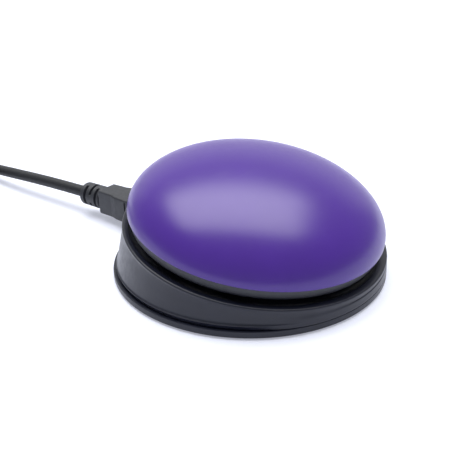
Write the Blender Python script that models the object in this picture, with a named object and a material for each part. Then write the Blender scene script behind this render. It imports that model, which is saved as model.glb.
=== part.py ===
"""Quiz buzzer: a tilted push dome on a round base, plugged into a USB lead.

The frame has +Z up and its origin on the floor under the middle of the base plate.
+Y is the rear, where the lead goes in and the top is highest. Lengths are in metres.
"""
import math

import bmesh
import bpy
from mathutils import Matrix, Vector

MM = 0.001
GAP = 0.3 * MM

# Base plate, a round tray that the housing closes
PLATE_RADIUS = 50.0 * MM
PLATE_BOTTOM = 0.5 * MM
PLATE_FLOOR = 1.5 * MM
PLATE_TOP = 2.1 * MM
PLATE_WELL_RADIUS = 45.5 * MM
PLATE_EDGE = 0.4 * MM
PLATE_BOSS_RADIUS = 3.8 * MM
PLATE_BOSS_TOP = 3.4 * MM

FOOT_RADIUS = 5.5 * MM
FOOT_HEIGHT = 0.8 * MM
FOOT_CIRCLE = 36.0 * MM

# Housing, lofted from a level circle at the floor to a tilted one at its rim. RIM_CENTRE is a point
# of the rim's plane, and the rim's circle and the press axis lie a little in front of it.
TILT = math.radians(9.0)
RIM_CENTRE = Vector((0.0, -0.75 * MM, 15.1 * MM))
RIM_RADIUS = 47.75 * MM
RIM_OFFSET = -2.0 * MM
RIM_TOP = 0.2 * MM
LIP_RADIUS = 49.1 * MM
LOWER_CENTRE_Y = -0.3 * MM
BOWL_MOUTH_RADIUS = 45.3 * MM
DECK_TOP = -2.6 * MM
DECK_BOTTOM = -4.4 * MM
WALL_INNER_RADIUS = 45.0 * MM
WALL_FOOT = 2.4 * MM

# Press axis: it stands square on the tilted rim
PRESS_OFFSET = -1.6 * MM
GUIDE_CIRCLE = 28.0 * MM
GUIDE_RADIUS = 3.0 * MM
GUIDE_END = -4.6 * MM
GUIDE_BORE = 1.5 * MM
CARRIER_BOTTOM = 2.0 * MM

# Dome, a superellipse of revolution
DOME_RADIUS = 46.0 * MM
DOME_BASE = 6.0 * MM
DOME_HEIGHT = 21.5 * MM
DOME_EXPONENT = 1.94
DOME_WALL = 2.0 * MM
DOME_SKIRT = 0.6 * MM

# Screws that hold the base plate to the housing
SCREW_CIRCLE = 40.0 * MM
SCREW_RADIUS = 1.5 * MM
SCREW_HEAD_RADIUS = 2.8 * MM
SCREW_TIP = 6.6 * MM
SCREW_BOSS_RADIUS = 3.4 * MM

# Conical springs: pressed flat, their turns lie in each other
SPRING_WIRE = 0.3 * MM
SPRING_TURNS = 3.5
SPRING_WIDE = 6.1 * MM
SPRING_NARROW = 3.9 * MM

# Circuit board and what stands on it
CHIP_TOP = 5.6 * MM
BOARD_BOTTOM = 2.0 * MM
BOARD_TOP = 3.2 * MM
BOARD_HALF_WIDTH = 13.0 * MM
BOARD_FRONT = -14.0 * MM
BOARD_REAR = 41.0 * MM
PART_BOTTOM = BOARD_TOP + GAP

# Microswitch: its long side lies along X and its lever hinges about Y
SWITCH_Y = -2.5 * MM
SWITCH_HALF_LENGTH = 6.4 * MM
SWITCH_HALF_WIDTH = 2.9 * MM
SWITCH_TOP = 10.0 * MM
LEVER_PIVOT_X = -5.5 * MM
LEVER_PIVOT_Z = 10.9 * MM
LEVER_LENGTH = 12.0 * MM
LEVER_REST_ANGLE = math.radians(15.0)
LEVER_HALF_WIDTH = 1.7 * MM
PLUNGER_X = 4.0 * MM
BUTTON_X = -2.6 * MM

# USB socket and the plug in it
PORT_Z = 8.8 * MM
SOCKET_REAR = 46.4 * MM
SOCKET_LENGTH = 15.2 * MM
SOCKET_HALF_WIDTH = 6.0 * MM
SOCKET_HALF_HEIGHT = 5.3 * MM
BOOT_FRONT = 47.3 * MM
HEAD_END = 62.8 * MM
NECK_START = 65.8 * MM
BOOT_END = 73.6 * MM
RELIEF_END = 85.5 * MM

# Lead
CABLE_RADIUS = 2.5 * MM
CABLE_ROUTE = [
    (0.0, 85.8, 8.8),
    (0.0, 94.0, 8.65),
    (0.0, 104.0, 8.5),
    (0.0, 118.0, 8.05),
    (0.2, 132.0, 7.3),
    (0.9, 147.0, 6.2),
    (2.3, 161.3, 4.9),
]
COIL_CENTRE = (-36.9 * MM, 184.0 * MM)
COIL_INNER = 17.2 * MM
COIL_OUTER = 42.8 * MM
COIL_BOTTOM = 0.8 * MM
COIL_TOP = 11.3 * MM
TIE_WALL = 0.5 * MM
TIE_HALF_WIDTH = 6.0 * MM
TAIL_X = -71.95
TAIL_ROUTE = [
    (TAIL_X, 155.4, 6.5),
    (TAIL_X, 151.0, 5.45),
    (TAIL_X, 146.0, 4.7),
    (TAIL_X, 141.3, 4.4),
]
HOST_RELIEF_START = 141.0 * MM
HOST_BOOT_START = 129.0 * MM
HOST_BOOT_END = 107.0 * MM
HOST_SHELL_END = 95.3 * MM
HOST_Z = 4.4 * MM


def clear_scene():
    for existing in list(bpy.data.objects):
        bpy.data.objects.remove(existing, do_unlink=True)


def make_material(name, colour, roughness, metallic=0.0):
    material = bpy.data.materials.new(name)
    material.use_nodes = True
    shader = material.node_tree.nodes["Principled BSDF"]
    shader.inputs["Base Color"].default_value = (*colour, 1.0)
    shader.inputs["Roughness"].default_value = roughness
    shader.inputs["Metallic"].default_value = metallic
    return material


def make_object(name, bm, material, parent=None, location=(0.0, 0.0, 0.0)):
    """Turn a bmesh into a named object with its faces pointing out."""
    bmesh.ops.recalc_face_normals(bm, faces=bm.faces)
    mesh = bpy.data.meshes.new(name)
    bm.to_mesh(mesh)
    bm.free()
    mesh.materials.append(material)
    mesh.shade_smooth()
    mesh.set_sharp_from_angle(angle=math.radians(35.0))
    made = bpy.data.objects.new(name, mesh)
    bpy.context.scene.collection.objects.link(made)
    made.parent = parent
    made.location = location
    return made


def combine(target, cutter_bm, operation="DIFFERENCE"):
    """Apply an exact Boolean to an object, with a tool given in the object's own frame."""
    bmesh.ops.recalc_face_normals(cutter_bm, faces=cutter_bm.faces)
    mesh = bpy.data.meshes.new("tool")
    cutter_bm.to_mesh(mesh)
    cutter_bm.free()
    tool = bpy.data.objects.new("tool", mesh)
    tool.hide_render = True
    tool.display_type = "WIRE"
    bpy.context.scene.collection.objects.link(tool)
    bpy.context.view_layer.update()
    tool.matrix_world = target.matrix_world
    modifier = target.modifiers.new("combine", "BOOLEAN")
    modifier.operation = operation
    modifier.solver = "EXACT"
    modifier.object = tool
    bpy.context.view_layer.update()
    evaluated = target.evaluated_get(bpy.context.evaluated_depsgraph_get())
    result = bpy.data.meshes.new_from_object(evaluated)
    target.modifiers.clear()
    target.data = result
    bpy.data.objects.remove(tool, do_unlink=True)


def loft(rings, closed=False):
    """Skin rings of points with quads. An open loft gets a flat face at each end."""
    bm = bmesh.new()
    rows = [[bm.verts.new(point) for point in ring] for ring in rings]
    count = len(rows[0])
    pairs = list(zip(rows, rows[1:]))
    if closed:
        pairs.append((rows[-1], rows[0]))
    for lower, upper in pairs:
        for i in range(count):
            j = (i + 1) % count
            bm.faces.new((lower[i], lower[j], upper[j], upper[i]))
    if not closed:
        bm.faces.new(rows[0])
        bm.faces.new(rows[-1])
    return bm


def circle(radius, z, segments, centre=(0.0, 0.0)):
    step = math.tau / segments
    return [
        Vector((centre[0] + radius * math.cos(i * step), centre[1] + radius * math.sin(i * step), z))
        for i in range(segments)
    ]


def lathe(profile, segments=24, closed=False, centre=(0.0, 0.0)):
    """Turn a profile of (radius, height) about Z. A closed one makes a ring."""
    return loft([circle(radius, z, segments, centre) for radius, z in profile], closed)


def box(low, high):
    bm = bmesh.new()
    bmesh.ops.create_cube(bm, size=1.0)
    size = [b - a for a, b in zip(low, high)]
    middle = [(a + b) / 2 for a, b in zip(low, high)]
    bmesh.ops.scale(bm, vec=size, verts=bm.verts)
    bmesh.ops.translate(bm, vec=middle, verts=bm.verts)
    return bm


def rounded_box(low, high, radius, segments=2):
    bm = box(low, high)
    bmesh.ops.bevel(bm, geom=bm.edges[:], offset=radius, segments=segments, profile=0.5, affect="EDGES")
    return bm


def rounded_section(y, half_width, half_height, radius, centre=(0.0, 0.0), steps=4):
    """A rounded rectangle in the plane of X and Z, at a given Y."""
    points = []
    corners = ((1, 1, 0), (-1, 1, 90), (-1, -1, 180), (1, -1, 270))
    for side_x, side_z, start in corners:
        for i in range(steps + 1):
            angle = math.radians(start + 90.0 * i / steps)
            x = centre[0] + side_x * (half_width - radius) + radius * math.cos(angle)
            z = centre[1] + side_z * (half_height - radius) + radius * math.sin(angle)
            points.append(Vector((x, y, z)))
    return points


def tilted_ring(radius, height, segments, offset=0.0):
    """A circle parallel to the rim, at a height over it and shifted along its slope."""
    turn = Matrix.Rotation(TILT, 3, "X")
    return [RIM_CENTRE + turn @ (point + Vector((0.0, offset, 0.0)))
            for point in circle(radius, height, segments)]


def level_ring(radius, z, segments):
    return circle(radius, z, segments, (0.0, LOWER_CENTRE_Y))


def guide_positions():
    """The three guide posts, in the press axis's frame."""
    return [(GUIDE_CIRCLE * math.cos(math.radians(angle)), GUIDE_CIRCLE * math.sin(math.radians(angle)))
            for angle in (90.0, 210.0, 330.0)]


def screw_positions():
    return [(SCREW_CIRCLE * math.cos(math.radians(angle)), SCREW_CIRCLE * math.sin(math.radians(angle)))
            for angle in (45.0, 135.0, 225.0, 315.0)]


def foot_positions():
    return [(FOOT_CIRCLE * math.cos(math.radians(angle)), FOOT_CIRCLE * math.sin(math.radians(angle)))
            for angle in (0.0, 90.0, 180.0, 270.0)]


def press_frame():
    """An empty on the axis along which the dome is pressed."""
    frame = bpy.data.objects.new("press_axis", None)
    bpy.context.scene.collection.objects.link(frame)
    turn = Matrix.Rotation(TILT, 3, "X")
    frame.location = RIM_CENTRE + turn @ Vector((0.0, PRESS_OFFSET, 0.0))
    frame.rotation_euler = (TILT, 0.0, 0.0)
    return frame


def build_base_plate(material):
    profile = [
        (PLATE_RADIUS - PLATE_EDGE, PLATE_BOTTOM),
        (PLATE_RADIUS, PLATE_BOTTOM + PLATE_EDGE),
        (PLATE_RADIUS - 0.1 * MM, PLATE_TOP - PLATE_EDGE),
        (PLATE_RADIUS - PLATE_EDGE, PLATE_TOP),
        (PLATE_WELL_RADIUS, PLATE_TOP),
        (PLATE_WELL_RADIUS, PLATE_FLOOR),
    ]
    plate = make_object("base_plate", lathe(profile, 64), material)
    for x, y in screw_positions():
        boss = [(PLATE_BOSS_RADIUS, 1.0 * MM), (PLATE_BOSS_RADIUS, PLATE_BOSS_TOP)]
        recess = [(SCREW_HEAD_RADIUS + 0.4 * MM, 0.0), (SCREW_HEAD_RADIUS + 0.4 * MM, 2.2 * MM)]
        hole = [(SCREW_RADIUS + 0.4 * MM, 1.0 * MM), (SCREW_RADIUS + 0.4 * MM, PLATE_BOSS_TOP + 0.6 * MM)]
        combine(plate, lathe(boss, 24, centre=(x, y)), "UNION")
        combine(plate, lathe(recess, 20, centre=(x, y)))
        combine(plate, lathe(hole, 16, centre=(x, y)))
    for x, y in foot_positions():
        pocket = [(FOOT_RADIUS + GAP, 0.0), (FOOT_RADIUS + GAP, FOOT_HEIGHT + GAP)]
        combine(plate, lathe(pocket, 24, centre=(x, y)))
    return plate


def build_feet(material):
    profile = [
        (FOOT_RADIUS - 0.2 * MM, 0.0),
        (FOOT_RADIUS, 0.2 * MM),
        (FOOT_RADIUS, FOOT_HEIGHT),
    ]
    for number, (x, y) in enumerate(foot_positions(), 1):
        make_object(f"foot_{number}", lathe(profile, 24), material, location=(x, y, 0.0))


def build_housing(material):
    segments = 64
    rings = [
        tilted_ring(40.0 * MM, DECK_BOTTOM, segments, PRESS_OFFSET),
        tilted_ring(43.4 * MM, -3.2 * MM, segments, PRESS_OFFSET),
        level_ring(WALL_INNER_RADIUS, 4.2 * MM, segments),
        level_ring(WALL_INNER_RADIUS, WALL_FOOT, segments),
        level_ring(46.5 * MM, WALL_FOOT, segments),
        level_ring(46.7 * MM, 2.75 * MM, segments),
        level_ring(LIP_RADIUS - 0.1 * MM, 2.75 * MM, segments),
        level_ring(LIP_RADIUS, 3.0 * MM, segments),
        level_ring(LIP_RADIUS - 0.05 * MM, 3.6 * MM, segments),
        level_ring(LIP_RADIUS - 0.5 * MM, 3.85 * MM, segments),
        level_ring(LIP_RADIUS - 0.8 * MM, 4.2 * MM, segments),
        tilted_ring(RIM_RADIUS, RIM_TOP - 0.7 * MM, segments, RIM_OFFSET),
        tilted_ring(RIM_RADIUS - 0.2 * MM, RIM_TOP - 0.2 * MM, segments, RIM_OFFSET),
        tilted_ring(RIM_RADIUS - 0.6 * MM, RIM_TOP, segments, RIM_OFFSET),
        tilted_ring(BOWL_MOUTH_RADIUS, -0.1 * MM, segments, PRESS_OFFSET),
        tilted_ring(44.3 * MM, -1.2 * MM, segments, PRESS_OFFSET),
        tilted_ring(41.0 * MM, DECK_TOP, segments, PRESS_OFFSET),
    ]
    housing = make_object("housing", loft(rings), material)
    add_screw_bosses(housing)
    cut_deck_openings(housing)
    port = [
        rounded_section(y, SOCKET_HALF_WIDTH + GAP, SOCKET_HALF_HEIGHT + GAP, 0.4 * MM, (0.0, PORT_Z), 1)
        for y in (40.0 * MM, 52.0 * MM)
    ]
    combine(housing, loft(port))
    return housing


def add_screw_bosses(housing):
    """Bosses that the base plate's screws bite into, each up to the sloping deck."""
    for x, y in screw_positions():
        deck = RIM_CENTRE.z + (y - RIM_CENTRE.y) * math.tan(TILT) + DECK_BOTTOM
        foot = PLATE_BOSS_TOP + GAP
        outside = [(SCREW_BOSS_RADIUS, foot), (SCREW_BOSS_RADIUS, deck + 0.8 * MM)]
        bore = [(SCREW_RADIUS + GAP, 3.0 * MM), (SCREW_RADIUS + GAP, SCREW_TIP + GAP)]
        combine(housing, lathe(outside, 20, centre=(x, y)), "UNION")
        combine(housing, lathe(bore, 16, centre=(x, y)))


def cut_deck_openings(housing):
    """Guide holes for the carrier's posts and a window for the switch lever."""
    turn = Matrix.Rotation(TILT, 4, "X")
    place = Matrix.Translation(RIM_CENTRE) @ turn @ Matrix.Translation((0.0, PRESS_OFFSET, 0.0))
    for x, y in guide_positions():
        hole = lathe([(GUIDE_RADIUS + GAP, -6.0 * MM), (GUIDE_RADIUS + GAP, 0.0)], 24, centre=(x, y))
        bmesh.ops.transform(hole, matrix=place, verts=hole.verts)
        combine(housing, hole)
    window = box((-8.2 * MM, -4.2 * MM, -6.0 * MM), (8.6 * MM, 4.6 * MM, 0.0))
    bmesh.ops.transform(window, matrix=place, verts=window.verts)
    combine(housing, window)


def dome_profile(radius, height, base, steps):
    """Superellipse from the rim up to just beside the axis."""
    points = []
    for i in range(steps):
        angle = 0.5 * math.pi * i / steps
        across = radius * math.cos(angle) ** (2.0 / DOME_EXPONENT)
        up = height * math.sin(angle) ** (2.0 / DOME_EXPONENT)
        points.append((across, base + up))
    return points


def build_dome(material, frame):
    skirt = DOME_BASE - DOME_SKIRT
    outer = dome_profile(DOME_RADIUS, DOME_HEIGHT, DOME_BASE, 13)
    inner = dome_profile(DOME_RADIUS - DOME_WALL, DOME_HEIGHT - DOME_WALL, DOME_BASE, 7)
    top = (0.8 * MM, DOME_BASE + DOME_HEIGHT)
    ceiling = (0.8 * MM, DOME_BASE + DOME_HEIGHT - DOME_WALL)
    profile = [ceiling, *reversed(inner), (DOME_RADIUS - DOME_WALL, skirt)]
    profile += [(DOME_RADIUS - 0.2 * MM, skirt), *outer, top]
    return make_object("dome_cap", lathe(profile, 56), material, frame)


def build_carrier(material, frame):
    profile = [
        (0.5 * MM, CARRIER_BOTTOM),
        (41.6 * MM, CARRIER_BOTTOM),
        (42.0 * MM, 1.6 * MM),
        (43.6 * MM, 1.6 * MM),
        (44.3 * MM, 2.2 * MM),
        (44.9 * MM, DOME_BASE - DOME_SKIRT - GAP),
        (43.6 * MM, DOME_BASE - DOME_SKIRT - GAP),
        (43.4 * MM, 8.2 * MM),
        (41.9 * MM, 8.2 * MM),
        (41.9 * MM, 3.6 * MM),
        (0.5 * MM, 3.6 * MM),
    ]
    carrier = make_object("cap_carrier", lathe(profile, 56), material, frame)
    for x, y in guide_positions():
        post = [(GUIDE_RADIUS, GUIDE_END), (GUIDE_RADIUS, 3.0 * MM)]
        bore = [(GUIDE_BORE, GUIDE_END - 1.0 * MM), (GUIDE_BORE, -1.0 * MM)]
        combine(carrier, lathe(post, 24, centre=(x, y)), "UNION")
        combine(carrier, lathe(bore, 16, centre=(x, y)))
    combine(carrier, plunger_shape(), "UNION")
    return carrier


def plunger_shape():
    """The finger that presses the switch lever, with a rounded tip."""
    radius = 2.0 * MM
    tip = plunger_tip_height()
    profile = []
    for i in range(1, 5):
        angle = 0.5 * math.pi * i / 4
        profile.append((radius * math.sin(angle), tip + radius * (1.0 - math.cos(angle))))
    profile.append((radius, 3.0 * MM))
    return lathe(profile, 20, centre=(PLUNGER_X, 0.0))


def plunger_tip_height():
    """Height of the tip in the press frame: it stands a gap above the lever at rest."""
    arm = PLUNGER_X - LEVER_PIVOT_X
    lever_top = LEVER_PIVOT_Z + arm * math.tan(LEVER_REST_ANGLE) + 0.25 * MM
    axis_height = RIM_CENTRE.z + PRESS_OFFSET * math.sin(TILT)
    return (lever_top + 0.45 * MM - axis_height) / math.cos(TILT)


def build_guide_fasteners(steel, frame):
    """A washer and a screw under each post keep the carrier from lifting out."""
    washer = [(1.6 * MM, -5.7 * MM), (4.2 * MM, -5.7 * MM), (4.2 * MM, -4.9 * MM), (1.6 * MM, -4.9 * MM)]
    screw = [
        (2.3 * MM, -7.2 * MM),
        (2.6 * MM, -6.9 * MM),
        (2.6 * MM, -6.0 * MM),
        (1.2 * MM, -6.0 * MM),
        (1.2 * MM, -1.4 * MM),
    ]
    for number, (x, y) in enumerate(guide_positions(), 1):
        make_object(f"guide_washer_{number}", lathe(washer, 20, closed=True), steel, frame, (x, y, 0.0))
        make_object(f"guide_screw_{number}", lathe(screw, 16), steel, frame, (x, y, 0.0))


def build_springs(steel, frame):
    """Three conical springs round the posts, between the deck and the carrier."""
    steps = 48
    low = DECK_TOP + GAP + SPRING_WIRE
    high = CARRIER_BOTTOM - GAP - SPRING_WIRE
    path = []
    for i in range(steps + 1):
        part = i / steps
        angle = math.tau * SPRING_TURNS * part
        radius = SPRING_WIDE + (SPRING_NARROW - SPRING_WIDE) * part
        path.append(Vector((radius * math.cos(angle), radius * math.sin(angle), low + (high - low) * part)))
    for number, (x, y) in enumerate(guide_positions(), 1):
        make_object(f"return_spring_{number}", wire_mesh(path, SPRING_WIRE, 6), steel, frame, (x, y, 0.0))


def wire_mesh(path, radius, sides):
    """A thin tube along a conical helix about Z."""
    rings = []
    for i, point in enumerate(path):
        before = path[max(i - 1, 0)]
        after = path[min(i + 1, len(path) - 1)]
        along = (after - before).normalized()
        outward = Vector((point.x, point.y, 0.0)).normalized()
        across = along.cross(outward).normalized()
        outward = across.cross(along)
        ring = []
        for k in range(sides):
            angle = math.tau * k / sides
            ring.append(point + radius * (math.cos(angle) * outward + math.sin(angle) * across))
        rings.append(ring)
    return loft(rings)


def build_housing_screws(material):
    profile = [
        (2.4 * MM, 0.8 * MM),
        (SCREW_HEAD_RADIUS, 1.1 * MM),
        (SCREW_HEAD_RADIUS, 1.9 * MM),
        (SCREW_RADIUS, 1.9 * MM),
        (SCREW_RADIUS, SCREW_TIP - 0.8 * MM),
        (0.8 * MM, SCREW_TIP),
    ]
    for number, (x, y) in enumerate(screw_positions(), 1):
        make_object(f"housing_screw_{number}", lathe(profile, 16), material, location=(x, y, 0.0))


def build_board(material):
    low = (-BOARD_HALF_WIDTH, BOARD_FRONT, BOARD_BOTTOM)
    high = (BOARD_HALF_WIDTH, BOARD_REAR, BOARD_TOP)
    return make_object("circuit_board", box(low, high), material)


def build_board_parts(plastic, metal, sleeve):
    """The controller, its crystal and two capacitors."""
    chip = rounded_box((-5.0 * MM, 9.0 * MM, PART_BOTTOM), (5.0 * MM, 16.0 * MM, CHIP_TOP), 0.2 * MM, 1)
    make_object("controller_chip", chip, plastic)
    sections = [
        rounded_section(y, 5.3 * MM, 1.7 * MM, 1.5 * MM, (-5.0 * MM, PART_BOTTOM + 1.7 * MM))
        for y in (20.0 * MM, 24.0 * MM)
    ]
    make_object("crystal", loft(sections), metal)
    capacitor = [
        (2.3 * MM, 0.0),
        (2.5 * MM, 0.3 * MM),
        (2.5 * MM, 5.6 * MM),
        (2.2 * MM, 6.0 * MM),
    ]
    for number, y in enumerate((19.5 * MM, 26.0 * MM), 1):
        place = (8.0 * MM, y, PART_BOTTOM)
        make_object(f"capacitor_{number}", lathe(capacitor, 20), sleeve, location=place)


def build_switch_body(material):
    low = (-SWITCH_HALF_LENGTH, SWITCH_Y - SWITCH_HALF_WIDTH, PART_BOTTOM)
    high = (SWITCH_HALF_LENGTH, SWITCH_Y + SWITCH_HALF_WIDTH, SWITCH_TOP)
    body = make_object("switch_body", rounded_box(low, high, 0.3 * MM, 1), material)
    for side in (-1.0, 1.0):
        middle = SWITCH_Y + side * 2.4 * MM
        ear = box((LEVER_PIVOT_X - 0.8 * MM, middle - 0.4 * MM, SWITCH_TOP - 1.0 * MM),
                  (LEVER_PIVOT_X + 0.8 * MM, middle + 0.4 * MM, LEVER_PIVOT_Z + 0.6 * MM))
        combine(body, ear, "UNION")
    pin = lathe([(0.4 * MM, -2.4 * MM), (0.4 * MM, 2.4 * MM)], 12)
    turn = Matrix.Rotation(math.radians(90.0), 4, "X")
    place = Matrix.Translation((LEVER_PIVOT_X, SWITCH_Y, LEVER_PIVOT_Z)) @ turn
    bmesh.ops.transform(pin, matrix=place, verts=pin.verts)
    combine(body, pin, "UNION")
    well = lathe([(1.1 * MM, 7.6 * MM), (1.1 * MM, SWITCH_TOP + 1.0 * MM)], 16, centre=(BUTTON_X, SWITCH_Y))
    combine(body, well)
    trough = box((LEVER_PIVOT_X - 1.6 * MM, SWITCH_Y - 1.95 * MM, SWITCH_TOP - 0.6 * MM),
                 (LEVER_PIVOT_X + 1.6 * MM, SWITCH_Y + 1.95 * MM, SWITCH_TOP + 0.05 * MM))
    combine(body, trough)
    return body


def build_switch_lever(material):
    """A flat arm with a knuckle round the pivot pin. Its origin is on the pin."""
    segments = 20
    outer = 1.15 * MM
    inner = 0.7 * MM
    knuckle = lathe([(inner, -LEVER_HALF_WIDTH), (outer, -LEVER_HALF_WIDTH),
                     (outer, LEVER_HALF_WIDTH), (inner, LEVER_HALF_WIDTH)], segments, closed=True)
    bmesh.ops.rotate(knuckle, matrix=Matrix.Rotation(math.radians(90.0), 3, "X"), verts=knuckle.verts)
    pivot = (LEVER_PIVOT_X, SWITCH_Y, LEVER_PIVOT_Z)
    lever = make_object("switch_lever", knuckle, material, location=pivot)
    lever.rotation_euler = (0.0, -LEVER_REST_ANGLE, 0.0)
    arm = box((0.9 * MM, -LEVER_HALF_WIDTH + 0.1 * MM, -0.2 * MM),
              (LEVER_LENGTH, LEVER_HALF_WIDTH - 0.1 * MM, 0.2 * MM))
    combine(lever, arm, "UNION")
    return lever


def build_switch_button(material):
    profile = [
        (0.75 * MM, -1.9 * MM),
        (0.75 * MM, -0.2 * MM),
        (0.5 * MM, 0.0),
    ]
    reach = BUTTON_X - LEVER_PIVOT_X
    top = LEVER_PIVOT_Z + reach * math.tan(LEVER_REST_ANGLE) - 0.55 * MM
    place = (BUTTON_X, SWITCH_Y, top)
    return make_object("switch_button", lathe(profile, 16), material, location=place)


def hollow_sleeve(front, rear, outer, inner, radius):
    """A rectangular sleeve along Y with an open way through. Sizes are half widths and heights."""
    rings = [
        rounded_section(front, *outer, radius),
        rounded_section(rear, *outer, radius),
        rounded_section(rear, *inner, radius * 0.6),
        rounded_section(front, *inner, radius * 0.6),
    ]
    return loft(rings, closed=True)


def build_socket(metal, plastic):
    front = SOCKET_REAR - SOCKET_LENGTH
    outer = (SOCKET_HALF_WIDTH, SOCKET_HALF_HEIGHT)
    inner = (5.4 * MM, 4.7 * MM)
    sleeve = hollow_sleeve(0.0, SOCKET_LENGTH, outer, inner, 0.5 * MM)
    place = (0.0, front, PORT_Z)
    shell = make_object("usb_socket_shell", sleeve, metal, location=place)
    back = [rounded_section(y, SOCKET_HALF_WIDTH - 0.2 * MM, SOCKET_HALF_HEIGHT - 0.2 * MM, 0.4 * MM)
            for y in (0.1 * MM, 1.0 * MM)]
    combine(shell, loft(back), "UNION")
    tongue = [rounded_section(y, 2.8 * MM, 1.6 * MM, 0.2 * MM, steps=1) for y in (1.3 * MM, 13.5 * MM)]
    make_object("usb_socket_tongue", loft(tongue), plastic, location=place)


def build_plug(metal, white, boot_material):
    """The plug in the socket: its metal shell, insulator, moulded boot and strain relief."""
    place = (0.0, BOOT_FRONT - GAP, PORT_Z)
    shell = hollow_sleeve(-11.5 * MM, 0.0, (4.2 * MM, 3.85 * MM), (3.8 * MM, 3.45 * MM), 0.5 * MM)
    make_object("usb_plug_shell", shell, metal, location=place)
    insulator = hollow_sleeve(-11.0 * MM, 0.0, (3.5 * MM, 3.15 * MM), (3.1 * MM, 1.9 * MM), 0.3 * MM)
    make_object("usb_plug_insulator", insulator, white, location=place)
    head = (6.2 * MM, 5.25 * MM)
    neck = (5.0 * MM, 5.25 * MM)
    sections = [
        rounded_section(BOOT_FRONT, head[0] - 0.5 * MM, head[1] - 0.5 * MM, 0.8 * MM),
        rounded_section(BOOT_FRONT + 0.5 * MM, *head, 1.0 * MM),
        rounded_section(HEAD_END, *head, 1.0 * MM),
        rounded_section(NECK_START, *neck, 1.2 * MM),
        rounded_section(BOOT_END - 0.5 * MM, *neck, 1.2 * MM),
        rounded_section(BOOT_END, neck[0] - 0.5 * MM, neck[1] - 0.5 * MM, 1.2 * MM),
    ]
    make_object("usb_plug_boot", loft(sections), boot_material, location=(0.0, 0.0, PORT_Z))
    relief = relief_mesh(BOOT_END + GAP, RELIEF_END, 5.0 * MM, 4.9 * MM)
    make_object("plug_strain_relief", relief, boot_material, location=(0.0, 0.0, PORT_Z))


def relief_mesh(start, end, start_radius, end_radius, ribs=4):
    """A tapered round sleeve along Y with grooves between its ribs."""
    rings = []
    length = end - start
    for i in range(ribs):
        for part, cut in ((0.0, 0.0), (0.62, 0.0), (0.7, 0.7 * MM), (0.92, 0.7 * MM)):
            if i == ribs - 1 and part > 0.65:
                continue
            place = (i + part) / (ribs - 0.38)
            radius = start_radius + (end_radius - start_radius) * place - cut
            rings.append(rounded_section(start + length * place, radius, radius, radius * 0.96, steps=3))
    return loft(rings)


def smooth_route(points, steps):
    """Points along a smooth curve (Catmull-Rom) through the route's own points."""
    ends = [points[0] * 2 - points[1], *points, points[-1] * 2 - points[-2]]
    result = []
    for i in range(1, len(ends) - 2):
        a, b, c, d = ends[i - 1:i + 3]
        for k in range(steps):
            t = k / steps
            result.append(0.5 * (2 * b + (c - a) * t + (2 * a - 5 * b + 4 * c - d) * t ** 2
                                 + (3 * b - a - 3 * c + d) * t ** 3))
    result.append(points[-1])
    return result


def build_cable(name, route, material, steps):
    curve = bpy.data.curves.new(name, "CURVE")
    curve.dimensions = "3D"
    curve.bevel_depth = CABLE_RADIUS
    curve.bevel_resolution = 2
    curve.use_fill_caps = True
    points = smooth_route([Vector(point) * MM for point in route], steps)
    spline = curve.splines.new("POLY")
    spline.points.add(len(points) - 1)
    for target, point in zip(spline.points, points):
        target.co = (*point, 1.0)
    curve.materials.append(material)
    cable = bpy.data.objects.new(name, curve)
    bpy.context.scene.collection.objects.link(cable)
    return cable


def build_coil(material, tie_material):
    """The wound length of the lead, as a turned ring, and the tie round it."""
    edge = 2.0 * MM
    profile = [
        (COIL_INNER, COIL_BOTTOM + edge),
        (COIL_INNER + edge, COIL_BOTTOM),
        (COIL_OUTER - edge, COIL_BOTTOM),
        (COIL_OUTER, COIL_BOTTOM + edge),
        (COIL_OUTER, COIL_TOP - edge),
        (COIL_OUTER - edge, COIL_TOP),
        (COIL_INNER + edge, COIL_TOP),
        (COIL_INNER, COIL_TOP - edge),
    ]
    place = (*COIL_CENTRE, 0.0)
    make_object("cable_coil", lathe(profile, 36, closed=True), material, location=place)
    inner = (COIL_INNER - 1.5 * MM, COIL_OUTER + 0.7 * MM, COIL_BOTTOM - GAP, COIL_TOP + GAP)
    rings = []
    corners = ((TIE_WALL, -1.0), (TIE_WALL, 1.0), (0.0, 1.0), (0.0, -1.0))
    for grow, side in corners:
        x = side * TIE_HALF_WIDTH
        y0, y1, z0, z1 = inner[0] - grow, inner[1] + grow, inner[2] - grow, inner[3] + grow
        rings.append([Vector((x, y0, z0)), Vector((x, y1, z0)), Vector((x, y1, z1)), Vector((x, y0, z1))])
    make_object("cable_tie", loft(rings, closed=True), tie_material, location=place)


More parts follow.
